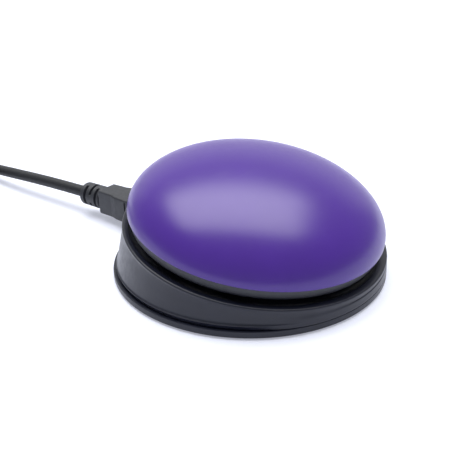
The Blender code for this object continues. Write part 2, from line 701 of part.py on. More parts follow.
def build_host_plug(metal, white, boot_material):
    """The plug at the far end of the lead, lying flat and pointing to -Y."""
    x = TAIL_X * MM
    head = (7.9 * MM, 4.1 * MM)
    sections = [
        rounded_section(HOST_BOOT_START, 4.4 * MM, 3.4 * MM, 1.2 * MM),
        rounded_section(HOST_BOOT_START - 5.0 * MM, *head, 1.4 * MM),
        rounded_section(HOST_BOOT_END + 0.5 * MM, *head, 1.4 * MM),
        rounded_section(HOST_BOOT_END, head[0] - 0.5 * MM, head[1] - 0.5 * MM, 1.0 * MM),
    ]
    make_object("host_plug_boot", loft(sections), boot_material, location=(x, 0.0, HOST_Z))
    relief = relief_mesh(HOST_RELIEF_START, HOST_BOOT_START + GAP, 3.2 * MM, 3.7 * MM)
    make_object("host_strain_relief", relief, boot_material, location=(x, 0.0, HOST_Z))
    front = HOST_SHELL_END - HOST_BOOT_END
    place = (x, HOST_BOOT_END - GAP, HOST_Z)
    shell = hollow_sleeve(front, 0.0, (6.0 * MM, 2.25 * MM), (5.65 * MM, 1.9 * MM), 0.4 * MM)
    make_object("host_plug_shell", shell, metal, location=place)
    tongue = [rounded_section(y, 5.3 * MM, 0.6 * MM, 0.1 * MM, (0.0, -0.9 * MM), 1)
              for y in (front + 0.6 * MM, 0.0)]
    make_object("host_plug_tongue", loft(tongue), white, location=place)


def main():
    clear_scene()
    black = make_material("black_plastic", (0.02, 0.022, 0.028), 0.45)
    purple = make_material("purple_plastic", (0.14, 0.07, 0.36), 0.28)
    rubber = make_material("black_rubber", (0.015, 0.015, 0.017), 0.8)
    steel = make_material("plated_steel", (0.6, 0.6, 0.62), 0.3, 1.0)
    spring_steel = make_material("spring_steel", (0.5, 0.5, 0.52), 0.35, 1.0)
    tin = make_material("tinned_shell", (0.7, 0.7, 0.72), 0.3, 1.0)
    white = make_material("white_nylon", (0.75, 0.75, 0.72), 0.5)
    green = make_material("solder_mask", (0.02, 0.2, 0.08), 0.4)
    chip = make_material("chip_epoxy", (0.03, 0.03, 0.03), 0.5)
    sleeve = make_material("capacitor_sleeve", (0.03, 0.04, 0.12), 0.35)
    switch = make_material("switch_plastic", (0.05, 0.05, 0.055), 0.5)
    red = make_material("switch_button_plastic", (0.5, 0.05, 0.04), 0.4)
    vinyl = make_material("black_vinyl", (0.025, 0.025, 0.028), 0.5)
    tie = make_material("tie_plastic", (0.03, 0.03, 0.03), 0.6)

    frame = press_frame()
    build_base_plate(black)
    build_feet(rubber)
    build_housing(black)
    build_housing_screws(steel)
    build_carrier(black, frame)
    build_dome(purple, frame)
    build_guide_fasteners(steel, frame)
    build_springs(spring_steel, frame)
    build_board(green)
    build_board_parts(chip, tin, sleeve)
    build_switch_body(switch)
    build_switch_lever(steel)
    build_switch_button(red)
    build_socket(tin, white)
    build_plug(tin, white, vinyl)
    build_cable("cable", CABLE_ROUTE, vinyl, 2)
    build_coil(vinyl, tie)
    build_cable("cable_tail", TAIL_ROUTE, vinyl, 2)
    build_host_plug(tin, white, vinyl)


main()
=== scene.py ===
"""Quiz buzzer: the looks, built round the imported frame. +Z is up.

Shapes are written in millimetres. Values in metres carry MM or say so.
"""
import math

import bmesh
import bpy
from mathutils import Matrix, Vector


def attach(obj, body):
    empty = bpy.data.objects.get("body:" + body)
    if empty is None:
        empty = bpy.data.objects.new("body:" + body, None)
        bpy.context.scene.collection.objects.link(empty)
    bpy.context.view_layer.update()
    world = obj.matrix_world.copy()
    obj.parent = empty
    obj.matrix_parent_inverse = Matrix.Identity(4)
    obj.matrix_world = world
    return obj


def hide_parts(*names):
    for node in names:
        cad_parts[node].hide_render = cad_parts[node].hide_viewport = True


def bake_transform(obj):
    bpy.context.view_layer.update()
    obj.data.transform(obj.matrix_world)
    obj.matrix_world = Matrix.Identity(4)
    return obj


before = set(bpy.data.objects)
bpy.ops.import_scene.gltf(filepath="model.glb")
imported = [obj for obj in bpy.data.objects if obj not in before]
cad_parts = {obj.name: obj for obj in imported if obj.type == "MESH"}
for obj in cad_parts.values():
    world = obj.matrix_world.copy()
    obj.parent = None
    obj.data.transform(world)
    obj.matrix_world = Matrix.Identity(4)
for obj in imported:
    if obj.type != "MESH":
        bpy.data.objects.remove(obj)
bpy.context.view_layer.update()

MM = 0.001
TURN = math.tau

# The frame's own dimensions, as the CAD source has them. The rim's circle and the dome's axis are placed
# from RIM_CENTRE, the point round which the top is tilted
TILT = math.radians(9.0)
RIM_CENTRE = Vector((0.0, -0.75 * MM, 15.1 * MM))
RIM_RADIUS = 47.75
RIM_OFFSET = -2.0
RIM_TOP = 0.2
PRESS_OFFSET = -1.6
DECK_BOTTOM = -4.4
LOWER_CENTRE_Y = -0.3 * MM
BOARD_TOP = 3.2

# Sides of the large rings
ROUND = 176

# Circles of repeated pieces: radius in metres, places in degrees from +X
GUIDE_CIRCLE = 28.0 * MM
GUIDE_ANGLES = (90.0, 210.0, 330.0)
SCREW_CIRCLE = 40.0 * MM
SCREW_ANGLES = (45.0, 135.0, 225.0, 315.0)
FOOT_CIRCLE = 36.0 * MM
FOOT_ANGLES = (0.0, 90.0, 180.0, 270.0)

# The middles of the socket and its plug, of that plug's relief and of the host plug, as (x, z)
PORT = (0.0, 8.8)
RELIEF = (0.0, 8.65)
HOST = (-71.95, 4.4)

# The microswitch and the plunger over it
SWITCH_Y = -2.5
SWITCH_TOP = 10.0
LEVER_PIVOT = Vector((-5.5, SWITCH_Y, 10.9))
LEVER_ANGLE = math.radians(15.0)
BUTTON_X = -2.6
PLUNGER_X = 4.0

# The rim's tilted frame, the press frame, along whose Z the dome is pressed, and a turn that lays Z along Y
TILTED = Matrix.Translation(RIM_CENTRE) @ Matrix.Rotation(TILT, 4, "X")
PRESS = TILTED @ Matrix.Translation((0.0, PRESS_OFFSET * MM, 0.0))
LYING = Matrix.Rotation(math.radians(90.0), 4, "X")


# ---- mesh helpers

def loft(rings, closed=False):
    """Skin rings of points with quads. A ring of one point is a pole, and an open end is capped."""
    bm = bmesh.new()
    rows = [[bm.verts.new(point) for point in ring] for ring in rings]
    pairs = list(zip(rows, rows[1:]))
    if closed:
        pairs.append((rows[-1], rows[0]))
    for lower, upper in pairs:
        count = max(len(lower), len(upper))
        for i in range(count):
            j = (i + 1) % count
            if len(lower) == 1:
                bm.faces.new((lower[0], upper[j], upper[i]))
            elif len(upper) == 1:
                bm.faces.new((lower[i], lower[j], upper[0]))
            else:
                bm.faces.new((lower[i], lower[j], upper[j], upper[i]))
    if not closed:
        for row in (rows[0], rows[-1]):
            if len(row) > 2:
                bm.faces.new(row)
    return bm


def circle(radius, z, segments, centre=(0.0, 0.0)):
    """A level ring of points, all in metres. Radius 0 gives a single point."""
    if radius == 0.0:
        return [Vector((centre[0], centre[1], z))]
    step = TURN / segments
    return [Vector((centre[0] + radius * math.cos(i * step), centre[1] + radius * math.sin(i * step), z))
            for i in range(segments)]


def lathe(profile, segments=48, closed=False, centre=(0.0, 0.0)):
    """Turn a profile of (radius, height) about an upright axis. The centre is in metres."""
    return loft([circle(radius * MM, z * MM, segments, centre) for radius, z in profile], closed)


def rounded(profile, radius, steps=3):
    """Round every corner of an open profile, apart from its two ends."""
    result = [profile[0]]
    for before, corner, after in zip(profile, profile[1:], profile[2:]):
        corner_v = Vector(corner)
        to_before = Vector(before) - corner_v
        to_after = Vector(after) - corner_v
        reach = min(radius, 0.45 * to_before.length, 0.45 * to_after.length)
        start = corner_v + to_before.normalized() * reach
        end = corner_v + to_after.normalized() * reach
        for i in range(steps + 1):
            t = i / steps
            point = start * (1 - t) ** 2 + corner_v * 2 * t * (1 - t) + end * t ** 2
            result.append((point.x, point.y))
    result.append(profile[-1])
    return result


def section(y, half_width, half_height, radius, centre=(0.0, 0.0), steps=6):
    """A rounded rectangle in the plane of X and Z."""
    points = []
    for side_x, side_z, start in ((1, 1, 0), (-1, 1, 90), (-1, -1, 180), (1, -1, 270)):
        for i in range(steps + 1):
            angle = math.radians(start + 90.0 * i / steps)
            x = centre[0] + side_x * (half_width - radius) + radius * math.cos(angle)
            z = centre[1] + side_z * (half_height - radius) + radius * math.sin(angle)
            points.append(Vector((x * MM, y * MM, z * MM)))
    return points


def block(low, high, radius=0.0, segments=3):
    """A box from corner to corner, with rounded edges where a radius is given."""
    bm = bmesh.new()
    bmesh.ops.create_cube(bm, size=1.0)
    size = [(b - a) * MM for a, b in zip(low, high)]
    middle = [(a + b) / 2 * MM for a, b in zip(low, high)]
    bmesh.ops.scale(bm, vec=size, verts=bm.verts)
    bmesh.ops.translate(bm, vec=middle, verts=bm.verts)
    if radius:
        bmesh.ops.bevel(bm, geom=bm.edges[:], offset=radius * MM, segments=segments, profile=0.5,
                        affect="EDGES")
    return bm


def plan(z, half_width, half_depth, radius, centre=(0.0, 0.0), steps=6):
    """A rounded rectangle in the plane of X and Y."""
    ring = section(0.0, half_width, half_depth, radius, centre, steps)
    return [Vector((point.x, point.z, z * MM)) for point in ring]


def cross(z, arm, half_width, centre, scale=1.0):
    """A ring in the shape of a plus sign. The centre is in metres."""
    corners = []
    for x, y in ((1, 1), (-1, 1), (-1, -1), (1, -1)):
        turned = [(arm * x, half_width * y), (half_width * x, half_width * y), (half_width * x, arm * y)]
        corners += turned if x == y else reversed(turned)
    return [Vector((centre[0] + x * scale * MM, centre[1] + y * scale * MM, z * MM)) for x, y in corners]


def around(circle_radius, angles):
    """Places on a circle, in the unit of its radius."""
    return [(circle_radius * math.cos(math.radians(a)), circle_radius * math.sin(math.radians(a)))
            for a in angles]


def moved(bm, matrix):
    bmesh.ops.transform(bm, matrix=matrix, verts=bm.verts)
    return bm


def merged(parts):
    """Several closed bodies as one bmesh."""
    whole = bmesh.new()
    for part in parts:
        mesh = bpy.data.meshes.new("part")
        bmesh.ops.recalc_face_normals(part, faces=part.faces)
        part.to_mesh(mesh)
        part.free()
        whole.from_mesh(mesh)
        bpy.data.meshes.remove(mesh)
    return whole


def add_piece(name, bm, material, body, replaces=(), matrix=None, crease=35.0):
    """A finished piece: it rides on its body and stands for the CAD nodes it replaces."""
    if matrix is not None:
        moved(bm, matrix)
    bmesh.ops.recalc_face_normals(bm, faces=bm.faces)
    mesh = bpy.data.meshes.new(name)
    bm.to_mesh(mesh)
    bm.free()
    mesh.materials.append(material)
    made = bpy.data.objects.new(name, mesh)
    bpy.context.scene.collection.objects.link(made)
    finish_shading(made, crease)
    if body is not None:
        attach(made, body)
    if replaces:
        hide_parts(*replaces)
    return made


def finish_shading(made, crease=35.0):
    """Shade a piece smooth, with its edges sharp beyond an angle in degrees."""
    made.data.shade_smooth()
    made.data.set_sharp_from_angle(angle=math.radians(crease))


def combine(target, tool_bm, operation="DIFFERENCE"):
    """Apply an exact Boolean to a piece, with a tool given in the same frame."""
    bmesh.ops.recalc_face_normals(tool_bm, faces=tool_bm.faces)
    mesh = bpy.data.meshes.new("tool")
    tool_bm.to_mesh(mesh)
    tool_bm.free()
    tool = bpy.data.objects.new("tool", mesh)
    bpy.context.scene.collection.objects.link(tool)
    modifier = target.modifiers.new("combine", "BOOLEAN")
    modifier.operation = operation
    modifier.solver = "EXACT"
    modifier.object = tool
    bpy.context.view_layer.update()
    evaluated = target.evaluated_get(bpy.context.evaluated_depsgraph_get())
    result = bpy.data.meshes.new_from_object(evaluated)
    target.modifiers.clear()
    target.data = result
    bpy.data.objects.remove(tool, do_unlink=True)
    finish_shading(target)


def smooth_step(low, high, value):
    """0 below low and 1 above high, with an even start and end."""
    t = min(max((value - low) / (high - low), 0.0), 1.0)
    return t * t * (3.0 - 2.0 * t)


def mix(a, b, t):
    return a + (b - a) * t


# ---- materials

ROUGH_SIZE = 2.0


def surface(name, colour, roughness, metallic=0.0, grain=(), mottle=0.06, mottle_size=6.0,
            rough_span=0.05, **sockets):
    """A Principled material with mottled colour, uneven roughness and a fine grain.

    Each grain is (size, height, detail). Other sockets of the shader go in by name.
    """
    material = bpy.data.materials.new(name)
    material.use_nodes = True
    tree = material.node_tree
    shader = tree.nodes["Principled BSDF"]
    shader.inputs["Metallic"].default_value = metallic
    for socket, value in sockets.items():
        shader.inputs[socket.replace("_", " ")].default_value = value
    place = tree.nodes.new("ShaderNodeTexCoord").outputs["Object"]

    def noise(size, detail):
        node = tree.nodes.new("ShaderNodeTexNoise")
        node.inputs["Scale"].default_value = 1.0 / (size * MM)
        node.inputs["Detail"].default_value = detail
        tree.links.new(place, node.inputs["Vector"])
        return node.outputs["Fac"]

    def span(value, low, high):
        """Stretch the middle of a noise's range to lie between low and high."""
        node = tree.nodes.new("ShaderNodeMapRange")
        node.inputs["From Min"].default_value = 0.3
        node.inputs["From Max"].default_value = 0.7
        node.inputs["To Min"].default_value = low
        node.inputs["To Max"].default_value = high
        tree.links.new(value, node.inputs["Value"])
        return node.outputs["Result"]

    blend = tree.nodes.new("ShaderNodeMix")
    blend.data_type = "RGBA"
    blend.inputs["A"].default_value = (*[c * (1.0 - mottle) for c in colour], 1.0)
    blend.inputs["B"].default_value = (*[c * (1.0 + mottle) for c in colour], 1.0)
    tree.links.new(span(noise(mottle_size, 4.0), 0.0, 1.0), blend.inputs["Factor"])
    tree.links.new(blend.outputs["Result"], shader.inputs["Base Color"])
    uneven = span(noise(ROUGH_SIZE, 3.0), roughness - rough_span, roughness + rough_span)
    tree.links.new(uneven, shader.inputs["Roughness"])
    normal = None
    for size, height, detail in grain:
        bump = tree.nodes.new("ShaderNodeBump")
        bump.inputs["Strength"].default_value = 1.0
        bump.inputs["Distance"].default_value = height * MM
        tree.links.new(noise(size, detail), bump.inputs["Height"])
        if normal is not None:
            tree.links.new(normal, bump.inputs["Normal"])
        normal = bump.outputs["Normal"]
    if normal is not None:
        tree.links.new(normal, shader.inputs["Normal"])
    return material


# The fine grain of a spark-eroded mould
SPARK_GRAIN = ((0.35, 0.004, 3.0), (1.6, 0.006, 2.0))
black = surface("black_abs", (0.0075, 0.0092, 0.0195), 0.34, grain=SPARK_GRAIN, mottle=0.1,
                Specular_IOR_Level=0.42)
black_ring = surface("black_abs_ring", (0.0130, 0.0145, 0.0230), 0.46, grain=SPARK_GRAIN, mottle=0.1,
                     Specular_IOR_Level=0.65)
purple = surface("violet_abs", (0.054, 0.0130, 0.232), 0.31, grain=((14.0, 0.003, 1.0),),
                 mottle=0.03, mottle_size=14.0, rough_span=0.02)
vinyl = surface("black_vinyl", (0.011, 0.012, 0.015), 0.55, grain=((0.25, 0.004, 2.0), (2.5, 0.02, 2.0)),
                mottle=0.12, Specular_IOR_Level=0.4)
boot_vinyl = surface("boot_vinyl", (0.020, 0.022, 0.028), 0.52, grain=((0.3, 0.010, 3.0), (1.4, 0.012, 2.0)),
                     mottle=0.12)
rubber = surface("foot_rubber", (0.018, 0.018, 0.02), 0.75, grain=((0.2, 0.015, 3.0),), mottle=0.15)
steel = surface("zinc_plate", (0.56, 0.57, 0.60), 0.28, metallic=1.0, grain=((0.4, 0.003, 3.0),), mottle=0.1)
spring_wire = surface("spring_wire", (0.46, 0.46, 0.48), 0.3, metallic=1.0, grain=((0.15, 0.002, 2.0),),
                      mottle=0.12)
tin = surface("tin_plate", (0.66, 0.66, 0.68), 0.26, metallic=1.0, grain=((0.7, 0.004, 3.0),), mottle=0.07)
gold = surface("contact_gold", (0.83, 0.58, 0.24), 0.25, metallic=1.0, grain=((0.3, 0.002, 2.0),))
nylon = surface("white_nylon", (0.70, 0.70, 0.67), 0.5, grain=((0.4, 0.004, 2.0),))
mask = surface("solder_mask", (0.018, 0.16, 0.06), 0.38, grain=((1.0, 0.01, 3.0),), mottle=0.18,
               mottle_size=1.6)
epoxy = surface("chip_epoxy", (0.022, 0.022, 0.023), 0.55, grain=((0.12, 0.006, 2.0),))
sleeve = surface("capacitor_sleeve", (0.02, 0.028, 0.1), 0.33, grain=((0.5, 0.006, 2.0),))
switch_black = surface("switch_phenolic", (0.035, 0.035, 0.038), 0.5, grain=((0.2, 0.004, 2.0),))
switch_red = surface("switch_red", (0.42, 0.03, 0.022), 0.4, grain=((0.3, 0.003, 2.0),))
strap = surface("woven_strap", (0.02, 0.02, 0.022), 0.85, grain=((0.35, 0.09, 4.0), (1.1, 0.05, 2.0)),
                mottle=0.35, mottle_size=0.6)
solder = surface("solder", (0.55, 0.55, 0.56), 0.33, metallic=1.0, grain=((0.5, 0.01, 2.0),))


# ---- camera, light and floor

# The camera that matches the outlines of the object in the photograph. Its place is in metres
CAMERA_PLACE = (-0.178170, -0.120782, 0.116836)
CAMERA_RIGHT = Vector((0.586400, -0.809845, -0.016798))
CAMERA_UP = Vector((0.355016, 0.238311, 0.903971))
CAMERA_LENS = 52.014
SENSOR_WIDTH = 36.0

# The stage, in metres
FLOOR_RADIUS = 2.5
FLOOR_Z = -0.00002

# Turns the overhead softbox so that its reflection lies level in the picture
SOFTBOX_TURN = math.radians(-54.0)


def add_camera():
    """Seen from the front left and above, with the lead going off to the left."""
    data = bpy.data.cameras.new("camera")
    data.lens = CAMERA_LENS
    data.sensor_width = SENSOR_WIDTH
    data.clip_start = 0.01
    data.clip_end = 20.0
    camera = bpy.data.objects.new("camera", data)
    bpy.context.scene.collection.objects.link(camera)
    back = CAMERA_RIGHT.cross(CAMERA_UP)
    basis = Matrix((CAMERA_RIGHT, CAMERA_UP, back)).transposed().to_4x4()
    camera.matrix_world = Matrix.Translation(CAMERA_PLACE) @ basis
    bpy.context.scene.camera = camera


def add_light(name, place, aim, size, radiance):
    """A rectangular softbox of a given radiance, which the camera doesn't see. Lengths are in metres."""
    data = bpy.data.lights.new(name, "AREA")
    data.shape = "RECTANGLE"
    data.size, data.size_y = size
    data.energy = radiance * size[0] * size[1] * math.pi
    light = bpy.data.objects.new(name, data)
    bpy.context.scene.collection.objects.link(light)
    light.location = place
    light.rotation_euler = (Vector(place) - Vector(aim)).to_track_quat("Z", "Y").to_euler()
    light.visible_camera = False
    return light


def stage_piece(name, bm, colour, **sockets):
    """A piece of the stage with a plain material. Other sockets of the shader go in by name."""
    mesh = bpy.data.meshes.new(name)
    bm.to_mesh(mesh)
    bm.free()
    made = bpy.data.objects.new(name, mesh)
    bpy.context.scene.collection.objects.link(made)
    material = bpy.data.materials.new(name)
    material.use_nodes = True
    shader = material.node_tree.nodes["Principled BSDF"]
    shader.inputs["Base Color"].default_value = (*colour, 1.0)
    for socket, value in sockets.items():
        shader.inputs[socket.replace("_", " ")].default_value = value
    mesh.materials.append(material)
    return made


def add_floor():
    """A pale round floor, with a little light of its own so that it comes out white."""
    disc = bmesh.new()
    bmesh.ops.create_circle(disc, cap_ends=True, segments=96, radius=FLOOR_RADIUS)
    floor = stage_piece("floor", disc, (0.62, 0.64, 0.72), Roughness=0.9, Specular_IOR_Level=0.0,
                        Emission_Color=(0.86, 0.88, 1.0, 1.0), Emission_Strength=0.36)
    floor.location.z = FLOOR_Z


def add_surround():
    """A white wall round the floor, which lights nothing and shows only behind the floor's edge."""
    inside = (FLOOR_RADIUS - 0.02) / MM
    wall = lathe([(inside, -100.0), (inside, 2600.0)], 96)
    surround = stage_piece("surround", wall, (0.8, 0.8, 0.8), Emission_Color=(1.0, 1.0, 1.0, 1.0),
                           Emission_Strength=1.0)
    surround.visible_diffuse = False
    surround.visible_glossy = False
    surround.visible_transmission = False
    surround.visible_shadow = False


def add_flag():
    """A dark card on the table on the camera's side, which only shiny surfaces see."""
    away = Vector((-0.829, -0.559, 0.0))
    across = Vector((0.559, -0.829, 0.0))
    near, far, half_width = 0.105, 1.1, 0.8
    height = Vector((0.0, 0.0, 0.001))
    card = bmesh.new()
    card.faces.new([card.verts.new(away * out + across * side + height) for out, side in (
        (near, -half_width), (near, half_width), (far, half_width), (far, -half_width))])
    flag = stage_piece("flag", card, (0.16, 0.16, 0.18), Roughness=0.95)
    flag.visible_camera = False
    flag.visible_diffuse = False
    flag.visible_shadow = False


def light_scene():
    """Soft studio light: a large box overhead and a wide low one, both beyond the object from the camera."""
    scene = bpy.context.scene
    scene.view_settings.view_transform = "Standard"
    world = bpy.data.worlds.new("studio")
    world.use_nodes = True
    background = world.node_tree.nodes["Background"]
    background.inputs["Color"].default_value = (0.95, 0.97, 1.0, 1.0)
    background.inputs["Strength"].default_value = 0.42
    scene.world = world
    overhead = add_light("overhead", place=(0.37, 0.45, 2.0), aim=(0.37, 0.45, 0.0), size=(2.7, 1.6),
                         radiance=5.8)
    overhead.rotation_euler.z += SOFTBOX_TURN
    add_light("backdrop", place=(1.3, 0.95, 0.55), aim=(0.0, 0.0, 0.1), size=(3.4, 1.0), radiance=0.5)


add_camera()
add_floor()
add_surround()
add_flag()
light_scene()


# ---- the lead

CABLE_RADIUS = 2.5 * MM
COIL_CENTRE = Vector((-36.9 * MM, 184.0 * MM, 0.0))
COIL_STEP = 5.05
COIL_RADII = [19.9 + COIL_STEP * i for i in range(5)]
COIL_TURNS = 7.5
COIL_POINTS = 360
LOW_LAYER = 3.4
HIGH_LAYER = 8.6
LEAD_ROUTE = [
    (0.0, 85.8, 8.8), (0.0, 94.0, 8.65), (0.0, 104.0, 8.5), (0.0, 118.0, 8.05),
    (0.2, 132.0, 7.3), (0.9, 147.0, 6.2), (2.3, 161.3, 4.9), (3.1, 173.0, 3.8), (3.2, 184.0, LOW_LAYER),
]
TAIL_END = [
    (-71.95, 175.0, HIGH_LAYER), (-71.95, 166.5, 8.45), (-71.95, 160.5, 7.6), (-71.95, 155.4, 6.5),
    (-71.95, 151.0, 5.45), (-71.95, 146.0, 4.7), (-71.95, 141.3, HOST[1]),
]


def smooth_route(points, steps):
    """Points along a smooth curve (Catmull-Rom) through the route's own points."""
    ends = [points[0] * 2 - points[1], *points, points[-1] * 2 - points[-2]]
    result = []
    for i in range(1, len(ends) - 2):
        a, b, c, d = ends[i - 1:i + 3]
        for k in range(steps):
            t = k / steps
            result.append(0.5 * (2 * b + (c - a) * t + (2 * a - 5 * b + 4 * c - d) * t ** 2
                                 + (3 * b - a - 3 * c + d) * t ** 3))
    result.append(points[-1])
    return result


def coil_points():
    """The wound length: one layer from the outside in, then a second from the inside out.

    Angles are in degrees from +X. Every turn of a layer steps sideways over the same arc.
    """
    points = []
    last = len(COIL_RADII) - 1
    for i in range(1, COIL_POINTS):
        angle = 360.0 * COIL_TURNS * i / COIL_POINTS
        turn, within = divmod(angle, 360.0)
        if turn < last:
            radius = COIL_RADII[last] - COIL_STEP * (turn + smooth_step(245.0, 360.0, within))
            height = LOW_LAYER
        else:
            past = angle - 360.0 * last
            outward = sum(smooth_step(-10.0, 105.0, past - 360.0 * turns) for turns in (1, 2, 3))
            radius = COIL_RADII[0] + COIL_STEP * outward
            height = mix(LOW_LAYER, HIGH_LAYER, smooth_step(105.0, 245.0, past))
        turned = math.radians(angle)
        points.append(Vector((COIL_CENTRE.x + radius * MM * math.cos(turned),
                              COIL_CENTRE.y + radius * MM * math.sin(turned), height * MM)))
    return points


def build_lead():
    """The whole lead as one round curve, from the plug's relief to the host plug's."""
    lead_in = smooth_route([Vector(p) * MM for p in LEAD_ROUTE], 3)
    tail = smooth_route([Vector(p) * MM for p in TAIL_END], 4)
    points = lead_in + coil_points() + tail
    curve = bpy.data.curves.new("lead", "CURVE")
    curve.dimensions = "3D"
    curve.bevel_depth = CABLE_RADIUS
    curve.bevel_resolution = 6
    curve.use_fill_caps = True
    spline = curve.splines.new("POLY")
    spline.points.add(len(points) - 1)
    for target, point in zip(spline.points, points):
        target.co = (*point, 1.0)
    spline.use_smooth = True
    curve.materials.append(vinyl)
    lead = bpy.data.objects.new("lead", curve)
    bpy.context.scene.collection.objects.link(lead)
    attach(lead, "base")
    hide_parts("cable", "cable_coil", "cable_tail")
    return lead


# ---- dome and carrier

DOME_RADIUS = 46.0
DOME_BASE = 6.0
DOME_HEIGHT = 21.5
DOME_EXPONENT = 1.94
DOME_WALL = 2.0
DOME_SKIRT = 5.4


def dome_curve(radius, height, steps):
    """A superellipse from the rim up to the top, as a profile of (radius, height)."""
    points = []
    for i in range(steps + 1):
        angle = 0.5 * math.pi * i / steps
        across = radius * max(math.cos(angle), 0.0) ** (2.0 / DOME_EXPONENT)
        up = height * math.sin(angle) ** (2.0 / DOME_EXPONENT)
        points.append((across if i < steps else 0.0, DOME_BASE + up))
    return points


def build_dome():
    """The violet cap: a shell with a short upright skirt and a softened lower edge."""
    edge = rounded([(DOME_RADIUS - DOME_WALL, DOME_BASE), (DOME_RADIUS - DOME_WALL, DOME_SKIRT),
                    (DOME_RADIUS, DOME_SKIRT), (DOME_RADIUS, DOME_BASE)], 0.3)
    inner = dome_curve(DOME_RADIUS - DOME_WALL, DOME_HEIGHT - DOME_WALL, 22)
    outer = dome_curve(DOME_RADIUS, DOME_HEIGHT, 46)
    profile = [*reversed(inner[1:]), *edge, *outer[1:]]
    add_piece("dome_shell", lathe(profile, ROUND), purple, "cap", ["dome_cap"], PRESS,
              crease=40.0)


SPRING_WIRE = 0.3
SPRING_WIDE = 6.1
SPRING_NARROW = 3.9
SPRING_LOW = -2.0
SPRING_HIGH = 1.4


def build_carrier():
    """The black ring under the dome, with its disc, guide posts, ribs and plunger."""
    ring = [(0.5, 2.0), (41.6, 2.0), (42.0, 1.2), (43.4, 1.1), (44.2, 1.35), (44.75, 2.1), (45.0, 5.1),
            (43.6, 5.1), (43.4, 8.2), (41.9, 8.2), (41.9, 3.6), (0.5, 3.6)]
    parts = [lathe(rounded(ring, 0.28), ROUND)]
    for centre in around(GUIDE_CIRCLE, GUIDE_ANGLES):
        post = rounded([(1.2, -1.0), (1.2, -4.6), (3.0, -4.6), (3.0, 2.4)], 0.25)
        parts.append(lathe(post, 40, centre=centre))
    tip, radius = plunger_tip(), 2.0
    nose = [(radius * math.sin(math.radians(a)), tip + radius * (1 - math.cos(math.radians(a))))
            for a in range(15, 91, 15)]
    parts.append(lathe([(0.0, tip), *nose, (radius, 2.4)], 32, centre=(PLUNGER_X * MM, 0.0)))
    ribs = 12
    for i in range(ribs):
        rib = block((8.0, -0.5, 3.3), (41.95, 0.5, 6.2), 0.2, 2)
        parts.append(moved(rib, Matrix.Rotation(TURN * i / ribs, 4, "Z")))
    add_piece("carrier_ring", merged(parts), black_ring, "cap", ["cap_carrier"], PRESS)


def plunger_tip():
    """The tip rests 0.45 mm over the top of the switch lever. The height is in the press frame."""
    gap, half_plate = 0.45, 0.25
    lever_top = LEVER_PIVOT.z + (PLUNGER_X - LEVER_PIVOT.x) * math.tan(LEVER_ANGLE) + half_plate
    axis_height = RIM_CENTRE.z / MM + PRESS_OFFSET * math.sin(TILT)
    return (lever_top + gap - axis_height) / math.cos(TILT)


def build_guides():
    """Springs round the posts, and the washers and screws under them."""
    washer = [(1.6, -5.3), (1.6, -5.7), (4.2, -5.7), (4.2, -4.9), (1.6, -4.9), (1.6, -5.3)]
    washer = rounded(washer, 0.15)[:-1]
    for number, (x, y) in enumerate(around(GUIDE_CIRCLE, GUIDE_ANGLES), 1):
        spring = add_piece(f"spring_{number}", spring_mesh((x, y)), spring_wire, None,
                           [f"return_spring_{number}"], PRESS)
        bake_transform(spring)
        add_piece(f"washer_{number}", lathe(washer, 48, True, (x, y)), steel, "cap",
                  [f"guide_washer_{number}"], PRESS)
        add_screw(f"guide_bolt_{number}", (2.6, 1.2, -7.2, -6.0, -1.4), (x, y), "cap",
                  f"guide_screw_{number}", PRESS)


def add_screw(name, sizes, centre, body, node, matrix=None):
    """A screw that points up, with a cross recess in its head.

    Sizes are head and shank radii, then the heights of head, shoulder and tip.
    """
    head, shank, bottom, shoulder, tip = sizes
    segments = 48
    profile = [(0.0, bottom + 0.02), (0.5 * head, bottom), (0.8 * head, bottom + 0.08),
               (0.94 * head, bottom + 0.24), (head, bottom + 0.45), (head, shoulder - 0.08),
               (0.97 * head, shoulder), (shank + 0.1, shoulder)]
    rows = [circle(radius * MM, z * MM, segments, centre) for radius, z in profile]
    pitch, depth, steps = 0.7, 0.2, 5
    count = int((tip - 0.6 - shoulder) / pitch * steps)
    for k in range(count + 1):
        z = shoulder + 0.05 + k * pitch / steps
        row = []
        for i, point in enumerate(circle(1.0, 0.0, segments)):
            phase = (z / pitch - i / segments) % 1.0
            radius = (shank - depth * abs(2.0 * phase - 1.0)) * MM
            row.append(Vector((centre[0] + point.x * radius, centre[1] + point.y * radius, z * MM)))
        rows.append(row)
    rows.append(circle(0.6 * shank * MM, (tip - 0.25) * MM, segments, centre))
    rows.append(circle(0.0, tip * MM, segments, centre))
    made = add_piece(name, loft(rows), steel, body, [node], matrix)
    recess = loft([cross(z, 0.58 * head, 0.13 * head, centre, scale)
                   for scale, z in ((1.12, bottom - 0.2), (0.75, bottom + 0.62))])
    if matrix is not None:
        moved(recess, matrix)
    combine(made, recess)


def spring_mesh(centre):
    """A conical spring in the press frame, widest on the deck, so that its turns nest when it is pressed."""
    turns, per_turn = 3.5, 48
    count = int(turns * per_turn)
    path = []
    for i in range(count + 1):
        share = i / count
        rise = mix(SPRING_LOW, SPRING_HIGH, smooth_step(0.06, 0.94, share))
        radius = mix(SPRING_WIDE, SPRING_NARROW, share)
        angle = TURN * turns * share
        path.append(Vector((radius * math.cos(angle), radius * math.sin(angle), rise)))
    bm = tube(path, SPRING_WIRE, 12)
    return moved(bm, Matrix.Translation((centre[0], centre[1], 0.0)))


